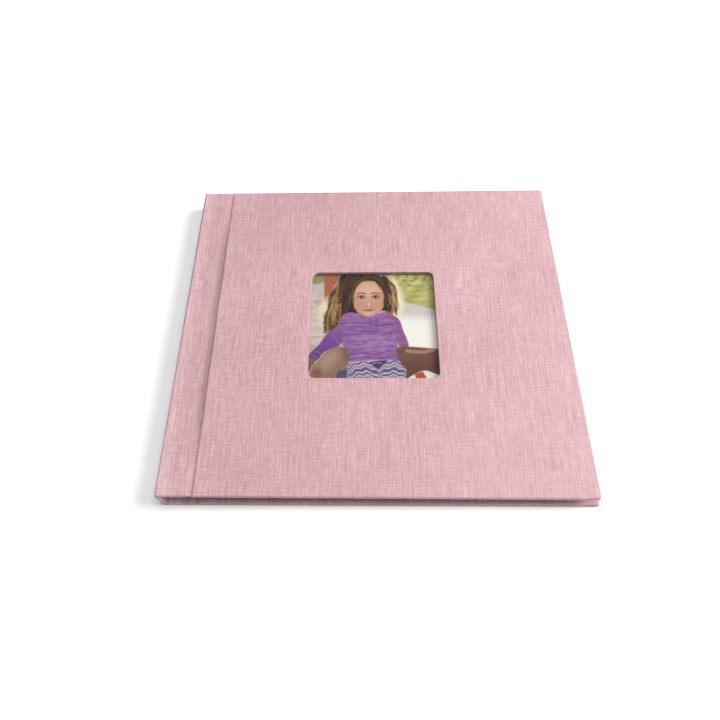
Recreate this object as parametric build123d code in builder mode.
"""Linen-covered post-bound scrapbook album, lying closed on its back cover.

Millimetres, +Z up.  The origin is on the table under the middle of the album.  The spine is at -X,
the fore-edge at +X, the tail (lower edge of the cover) at -Y and the head at +Y.
"""
import os
from math import atan2, cos, degrees, hypot, sin

from build123d import *

# ---- leaves ----
page_width = 203.2          # white insert card, hinge side to fore-edge
page_height = 203.2         # tail to head
leaf_count = 8
card_thickness = 0.25
card_clearance = 0.2        # between the card's edges and the welds
card_play = 0.03            # between the card's faces and the films
film = 0.07                 # each film of a sleeve
weld = 1.0                  # width of the welded edges
sleeve_lip = 1.4            # the films stand this far past the card at the open head
leaf_gap = 0.3              # air between neighbouring leaves
crease_offset = 2.0         # from the middle of the front groove to the line the leaves turn about
crease_width = 2.4          # soft film between that line and the stiff part of the leaf
guard_setback = 0.3         # the punched guards stop this far short of the crease
guard_inset = 0.6           # between the guards and the lined spine
packing_thickness = 2.6     # greyboard strip over the guards

# ---- case ----
cloth = 0.3                 # linen with its paper backing
board = 2.3                 # greyboard
lining = 0.3                # endpaper, and the turned-in cloth beside it
cover_square = 5.2          # the covers stand this far past the sleeves at tail and head
fore_square = 2.1           # and this far at the fore-edge
spine_lean = 1.5            # the back cover lies this much nearer the fore-edge than the front one
fore_edge_drop = 2.0        # the front cover slopes down this much from its hinge to the fore-edge
turn_in = 4.0               # turned-in cloth that shows around each lining
board_softness = 0.4        # radius that the outer edges of the boards are worn to
plan_corner = 0.9           # cover corners, seen from above
spine_corner = 1.2          # radius of the cloth where it turns from a cover into the spine
groove_corner = 0.8         # radius of the cloth where it turns down into a groove

# ---- the cloth hinges ----
hinge_line = 18.9           # spine face to the middle of each groove
groove_width = 3.0          # between the cloth faces of hinge strip and cover
groove_depth = 1.4          # outer face to the cloth floor of the groove
hinge_rise = 0.3            # the covers turn about a line this far outside the groove's mouth
hinge_slack = 0.7           # between the groove's floor and the cover that turns beside it

# ---- window and picture pocket ----
window = 76.0               # square opening, clear of the cloth that lines it
window_radius = 4.0
window_film_thickness = 0.15
print_overlap = 6.45        # the print reaches this far past each side of the window
print_thickness = 0.25
print_clearance = 0.5       # at each edge of the print
pocket_thickness = 0.4      # the card frame that spaces the backing off the film
pocket_rim = 8.0            # width of that frame's three sides
pocket_back_thickness = 0.3
thumb_notch = 10.0          # radius of the notch for drawing the print out

# ---- album posts ----
post_spacing = 108.0
post_inset = 10.4           # spine face of the front cover to the posts' axes
barrel_radius = 2.5
barrel_head_radius = 5.0
barrel_head_thickness = 1.0
thread_radius = 1.75
thread_play = 0.05
screw_reach = 6.4           # of the shank, past the screw's head
screw_head_radius = 5.0
screw_head_thickness = 1.0
screw_head_bevel = 0.2
screw_sink = 0.35           # from the outer face to the screw's head
screw_seat_play = 0.1
slot_width = 1.2
slot_depth = 0.5
post_clearance = 0.2        # radial, in boards, guards and recesses

# ---- derived sizes ----
leaf_thickness = card_thickness + 2 * card_play + 2 * film
leaf_pitch = leaf_thickness + leaf_gap
cover_thickness = cloth + board + lining
spine_thickness = 2 * cover_thickness + leaf_count * leaf_pitch + packing_thickness
sleeve_margin = card_clearance + weld
half_height = page_height / 2 + sleeve_margin + cover_square
reach = crease_offset + crease_width + page_width + 2 * sleeve_margin + fore_square
cover_width = hinge_line + reach
print_side = window + 2 * print_overlap

# ---- derived places ----
front_spine_x = -(cover_width + spine_lean) / 2
back_spine_x = front_spine_x + spine_lean
front_hinge_x = front_spine_x + hinge_line
back_hinge_x = back_spine_x + hinge_line
half_groove = groove_width / 2
slope = atan2(fore_edge_drop, reach)
lean_rate = spine_lean / spine_thickness
lean_stretch = hypot(1, lean_rate)                    # a wall along the leaning spine, measured in x
spine_cloth = cloth * lean_stretch
spine_wall = (cloth + board) * lean_stretch
window_x = cover_width / 2 - hinge_line               # window centre, measured from the groove

# outer face of each cover: x runs from its groove to the fore-edge, z points out of the album
front_plane = Plane(
    origin=(front_hinge_x, 0, spine_thickness),
    x_dir=(cos(slope), 0, -sin(slope)),
    z_dir=(sin(slope), 0, cos(slope)),
)
back_plane = Plane(origin=(back_hinge_x, 0, 0), x_dir=(1, 0, 0), z_dir=(0, 0, -1))

os.makedirs("parts", exist_ok=True)


def save(piece, label):
    piece.part.label = label
    export_step(piece.part, f"parts/{label}.step")


def span(x0, x1, y0, y1, radius=0.0, mode=Mode.ADD):
    """A rectangle given by its sides, in the current sketch."""
    with Locations(((x0 + x1) / 2, (y0 + y1) / 2)):
        if radius > 0:
            RectangleRounded(x1 - x0, y1 - y0, radius, mode=mode)
        else:
            Rectangle(x1 - x0, y1 - y0, mode=mode)


# ======== covers ========
# Each cover is a greyboard panel, an endpaper glued inside it, and linen that is turned in over the
# head, tail and fore-edge.  The front one has a window, whose walls the linen lines.

def make_board(plane, has_window):
    with BuildPart() as piece:
        with BuildSketch(plane.offset(-cloth)):
            edge = half_height - cloth
            span(half_groove + cloth, reach - cloth, -edge, edge, plan_corner - cloth)
            if has_window:
                with Locations((window_x, 0)):
                    lined = window + 2 * cloth
                    RectangleRounded(lined, lined, window_radius + cloth, mode=Mode.SUBTRACT)
        extrude(amount=-board)
        rim = piece.faces().sort_by(plane.offset(-cloth).location.z_axis)[-1].outer_wire().edges()
        fillet(rim, board_softness)
    return piece


def make_lining(plane, has_window):
    with BuildPart() as piece:
        with BuildSketch(plane.offset(-cloth - board)):
            edge = half_height - turn_in
            span(half_groove + cloth, reach - turn_in, -edge, edge)
            if has_window:
                with Locations((window_x, 0)):
                    lined = window + 2 * cloth
                    RectangleRounded(lined, lined, window_radius + cloth, mode=Mode.SUBTRACT)
        extrude(amount=-lining)
    return piece


def make_cloth(plane, has_window, inner_pieces):
    """The whole outside of a cover, less what the cloth is wrapped round."""
    with BuildPart() as piece:
        with BuildSketch(plane):
            span(half_groove, reach, -half_height, half_height, plan_corner)
        extrude(amount=-cover_thickness)
        rim = piece.faces().sort_by(plane.location.z_axis)[-1].outer_wire().edges()
        fillet(rim, board_softness + cloth)
        for inner in inner_pieces:
            add(inner.part, mode=Mode.SUBTRACT)
        # under the groove's floor the board's hinge edge is bare
        with BuildSketch(plane.offset(-groove_depth - cloth)):
            span(0, half_groove + cloth, -half_height, half_height)
        extrude(amount=-cover_thickness, mode=Mode.SUBTRACT)
        if has_window:
            with BuildSketch(plane):
                with Locations((window_x, 0)):
                    RectangleRounded(window, window, window_radius)
            extrude(amount=-cover_thickness, mode=Mode.SUBTRACT)
    return piece


front_board = make_board(front_plane, True)
front_liner = make_lining(front_plane, True)
front_cloth = make_cloth(front_plane, True, (front_board, front_liner))
save(front_board, "front_board")
save(front_liner, "front_liner")
save(front_cloth, "front_cloth")

back_board = make_board(back_plane, False)
back_liner = make_lining(back_plane, False)
back_cloth = make_cloth(back_plane, False, (back_board, back_liner))
save(back_board, "back_board")
save(back_liner, "back_liner")
save(back_cloth, "back_cloth")


# ======== picture pocket, on the inside of the front cover ========
# Clear film glued behind the window, a U-shaped card frame and a backing card.  The pocket is open
# at the head, where the print is slid in.
pocket_half = print_side / 2 + print_clearance
rim_half = pocket_half + pocket_rim
film_depth = cover_thickness
frame_depth = film_depth + window_film_thickness
pocket_back_depth = frame_depth + pocket_thickness

with BuildPart() as window_film:
    with BuildSketch(front_plane.offset(-film_depth)):
        span(window_x - rim_half, window_x + rim_half, -rim_half, pocket_half)
    extrude(amount=-window_film_thickness)
save(window_film, "window_film")

with BuildPart() as pocket_frame:
    with BuildSketch(front_plane.offset(-frame_depth)):
        span(window_x - rim_half, window_x + rim_half, -rim_half, pocket_half)
        span(window_x - pocket_half, window_x + pocket_half, -pocket_half, pocket_half,
             mode=Mode.SUBTRACT)
    extrude(amount=-pocket_thickness)
save(pocket_frame, "pocket_frame")

with BuildPart() as pocket_back:
    with BuildSketch(front_plane.offset(-pocket_back_depth)):
        span(window_x - rim_half, window_x + rim_half, -rim_half, pocket_half)
        with Locations((window_x, pocket_half)):
            Circle(thumb_notch, mode=Mode.SUBTRACT)
    extrude(amount=-pocket_back_thickness)
save(pocket_back, "pocket_back")

with BuildPart() as photo_print:
    with BuildSketch(front_plane.offset(-frame_depth - (pocket_thickness - print_thickness) / 2)):
        with Locations((window_x, 0)):
            Rectangle(print_side, print_side)
    extrude(amount=-print_thickness)
save(photo_print, "photo_print")


# ======== album posts ========
# A flat-headed barrel stands in each of two holes, held under the cloth of the front hinge strip.
# A slotted screw goes into it from a counterbore in the back hinge strip.
post_x = front_spine_x + post_inset
post_points = [(post_x, side * post_spacing / 2) for side in (-1, 1)]
seat_height = screw_sink + screw_head_thickness + screw_seat_play
barrel_end = seat_height + screw_seat_play
barrel_head_base = spine_thickness - cloth - barrel_head_thickness
post_hole = barrel_radius + post_clearance

with BuildPart() as post_barrels:
    with BuildSketch(Plane.XY.offset(barrel_head_base)):
        with Locations(*post_points):
            Circle(barrel_head_radius)
    extrude(amount=barrel_head_thickness)
    with BuildSketch(Plane.XY.offset(barrel_end)):
        with Locations(*post_points):
            Circle(barrel_radius)
    extrude(amount=barrel_head_base - barrel_end)
    with BuildSketch(Plane.XY.offset(barrel_end)):
        with Locations(*post_points):
            Circle(thread_radius + thread_play)
    extrude(amount=screw_reach + screw_seat_play, mode=Mode.SUBTRACT)
save(post_barrels, "post_barrels")


def make_screw(point):
    with BuildPart() as piece:
        with BuildSketch(Plane.XY.offset(screw_sink)):
            with Locations(point):
                Circle(screw_head_radius)
        extrude(amount=screw_head_thickness)
        chamfer(piece.edges().group_by(Axis.Z)[0], screw_head_bevel)
        with BuildSketch(Plane.XY.offset(screw_sink + screw_head_thickness)):
            with Locations(point):
                Circle(thread_radius)
        extrude(amount=screw_reach)
        with BuildSketch(Plane.XY.offset(screw_sink)):
            with Locations(point):
                Rectangle(2 * screw_head_radius, slot_width)
        extrude(amount=slot_depth, mode=Mode.SUBTRACT)
    return piece


save(make_screw(post_points[0]), "post_screw_tail")
save(make_screw(post_points[1]), "post_screw_head")


# ======== binding: hinge strips, spine and what lines them ========
def face_shift(z):
    """How far the leaning spine's face stands from the front cover's spine edge, at a height."""
    return (spine_thickness - z) * lean_rate


strip_end = half_height - cloth
spine_board_gap = face_shift(spine_thickness - cloth - board) + board_softness


strip_left = -hinge_line + cloth + board + spine_board_gap       # from the groove beside it
strip_right = -half_groove - cloth

with BuildPart() as front_strip:
    with BuildSketch(Plane.XY.offset(spine_thickness - cloth)):
        span(front_hinge_x + strip_left, front_hinge_x + strip_right, -strip_end, strip_end)
    extrude(amount=-board)
    groove_edge = front_strip.edges().filter_by(Axis.Y).group_by(Axis.Z)[-1].sort_by(Axis.X)[-1]
    fillet(groove_edge, groove_corner - cloth)
    with BuildSketch(Plane.XY.offset(barrel_head_base)):
        with Locations(*post_points):
            Circle(barrel_head_radius + post_clearance)
    extrude(amount=barrel_head_thickness, mode=Mode.SUBTRACT)
    with BuildSketch(Plane.XY.offset(barrel_head_base)):
        with Locations(*post_points):
            Circle(post_hole)
    extrude(amount=-board, mode=Mode.SUBTRACT)
save(front_strip, "front_strip")

with BuildPart() as back_strip:
    with BuildSketch(Plane.XY.offset(cloth)):
        span(back_hinge_x + strip_left, back_hinge_x + strip_right, -strip_end, strip_end)
    extrude(amount=board)
    groove_edge = back_strip.edges().filter_by(Axis.Y).group_by(Axis.Z)[0].sort_by(Axis.X)[-1]
    fillet(groove_edge, groove_corner - cloth)
    with BuildSketch():
        with Locations(*post_points):
            Circle(screw_head_radius + post_clearance)
    extrude(amount=seat_height, mode=Mode.SUBTRACT)
    with BuildSketch(Plane.XY.offset(seat_height)):
        with Locations(*post_points):
            Circle(post_hole)
    extrude(amount=board, mode=Mode.SUBTRACT)
save(back_strip, "back_strip")

# the spine board ends where the cloth begins to turn into the covers
corner_run = spine_corner * (lean_stretch + lean_rate)
spine_top = spine_thickness - corner_run
spine_bottom = corner_run


def spine_section():
    """Section of the spine board, in a sketch on the XZ plane."""
    Polygon(
        (front_spine_x + face_shift(spine_top) + spine_cloth, spine_top),
        (front_spine_x + face_shift(spine_bottom) + spine_cloth, spine_bottom),
        (front_spine_x + face_shift(spine_bottom) + spine_wall, spine_bottom),
        (front_spine_x + face_shift(spine_top) + spine_wall, spine_top),
        align=None,
    )


with BuildPart() as spine_board:
    with BuildSketch(Plane.XZ):
        spine_section()
    extrude(amount=strip_end, both=True)
save(spine_board, "spine_board")

with BuildPart() as binding_cloth:
    flange_front = front_hinge_x + half_groove - hinge_slack
    flange_back = back_hinge_x + half_groove - hinge_slack
    with BuildSketch(Plane.XZ):
        with BuildLine():
            FilletPolyline(
                (flange_front, spine_thickness - groove_depth),
                (front_hinge_x - half_groove, spine_thickness - groove_depth),
                (front_hinge_x - half_groove, spine_thickness),
                (front_spine_x, spine_thickness),
                (back_spine_x, 0),
                (back_hinge_x - half_groove, 0),
                (back_hinge_x - half_groove, groove_depth),
                (flange_back, groove_depth),
                radius=[cloth, groove_corner, spine_corner, spine_corner, groove_corner, cloth],
            )
            offset(amount=cloth, side=Side.LEFT)
        make_face()
    extrude(amount=half_height, both=True)
    # at head and tail the cloth is turned in over the ends of the three boards
    for side in (-1, 1):
        end = Plane.XZ.offset(side * half_height)
        with BuildSketch(end):
            spine_section()
            span(front_hinge_x - hinge_line + cloth + board, front_hinge_x - half_groove - cloth,
                 spine_thickness - cloth - board, spine_thickness - groove_corner)
            span(front_hinge_x - hinge_line + cloth + board,
                 front_hinge_x - half_groove - groove_corner,
                 spine_thickness - cloth - board, spine_thickness - cloth)
            span(back_hinge_x - hinge_line + cloth + board, back_hinge_x - half_groove - cloth,
                 groove_corner, cloth + board)
            span(back_hinge_x - hinge_line + cloth + board,
                 back_hinge_x - half_groove - groove_corner,
                 cloth, cloth + board)
        extrude(amount=-side * cloth)
    # the screws' heads lie in holes through the cloth
    with BuildSketch():
        with Locations(*post_points):
            Circle(screw_head_radius + post_clearance)
    extrude(amount=cloth, mode=Mode.SUBTRACT)
save(binding_cloth, "binding_cloth")

with BuildPart() as binding_liner:
    liner_top = spine_thickness - cloth - board
    liner_bottom = cloth + board
    with BuildSketch(Plane.XZ):
        with BuildLine():
            Polyline(
                (flange_front, liner_top),
                (front_spine_x + face_shift(liner_top) + spine_wall, liner_top),
                (front_spine_x + face_shift(liner_bottom) + spine_wall, liner_bottom),
                (flange_back, liner_bottom),
            )
            offset(amount=lining, side=Side.LEFT)
        make_face()
    extrude(amount=half_height - turn_in, both=True)
    with BuildSketch():
        with Locations(*post_points):
            Circle(post_hole)
    extrude(amount=spine_thickness, mode=Mode.SUBTRACT)
save(binding_liner, "binding_liner")


# ======== leaves ========
# Each leaf is a white punched guard on the posts, a clear sleeve that is welded along three sides
# and open at the head, and a white card slid into it.  The soft film between guard and sleeve, which
# bends as the leaf turns, is left out of these solids.
crease_x = front_hinge_x + crease_offset
sleeve_left = crease_x + crease_width
card_left = sleeve_left + sleeve_margin
card_right = card_left + page_width
sleeve_right = card_right + sleeve_margin
card_tail = -page_height / 2
card_head = page_height / 2
sleeve_tail = card_tail - sleeve_margin
sleeve_head = card_head + sleeve_lip
guard_left = back_spine_x + cloth + board + lining + guard_inset
guard_right = crease_x - guard_setback


def make_guard(base, thickness, right):
    with BuildPart() as piece:
        with BuildSketch(Plane.XY.offset(base)):
            span(guard_left, right, sleeve_tail, sleeve_head)
            with Locations(*post_points):
                Circle(post_hole, mode=Mode.SUBTRACT)
        extrude(amount=thickness)
    return piece


def make_sleeve(base):
    with BuildPart() as piece:
        with BuildSketch(Plane.XY.offset(base)):
            span(sleeve_left, sleeve_right, sleeve_tail, sleeve_head)
        extrude(amount=leaf_thickness)
        with BuildSketch(Plane.XY.offset(base + film)):
            span(sleeve_left + weld, sleeve_right - weld, sleeve_tail + weld, sleeve_head)
        extrude(amount=leaf_thickness - 2 * film, mode=Mode.SUBTRACT)
    return piece


def make_card(base):
    with BuildPart() as piece:
        with BuildSketch(Plane.XY.offset(base)):
            span(card_left, card_right, card_tail, card_head)
        extrude(amount=card_thickness)
    return piece


for number in range(leaf_count):
    guard_base = cover_thickness + number * leaf_pitch
    leaf_base = guard_base + leaf_gap
    save(make_guard(guard_base, leaf_pitch, guard_right), f"guard_{number + 1}")
    save(make_sleeve(leaf_base), f"sleeve_{number + 1}")
    save(make_card(leaf_base + film + card_play), f"insert_{number + 1}")

# greyboard strip, as wide as the hinge strip over it, that fills the rest of the spine's height
packing_base = cover_thickness + leaf_count * leaf_pitch
packing_strip = make_guard(packing_base, packing_thickness, front_hinge_x + strip_right)
save(packing_strip, "packing_strip")

print(f"front hinge x {front_hinge_x:.3f} z {spine_thickness + hinge_rise:.3f}")
print(f"back hinge x {back_hinge_x:.3f} z {-hinge_rise:.3f}")
print(f"leaf crease x {crease_x:.3f}, first z {cover_thickness + leaf_gap + leaf_thickness / 2:.3f}")
print(f"leaf pitch {leaf_pitch:.3f}, leaves from x {sleeve_left:.2f} to {sleeve_right:.2f}")
print(f"front cover slope {degrees(slope):.3f} degrees")
print(f"window centre x {front_hinge_x + window_x * cos(slope):.3f}")
print(f"cover {cover_width:.2f} by {2 * half_height:.2f}, {spine_thickness:.2f} at the spine")
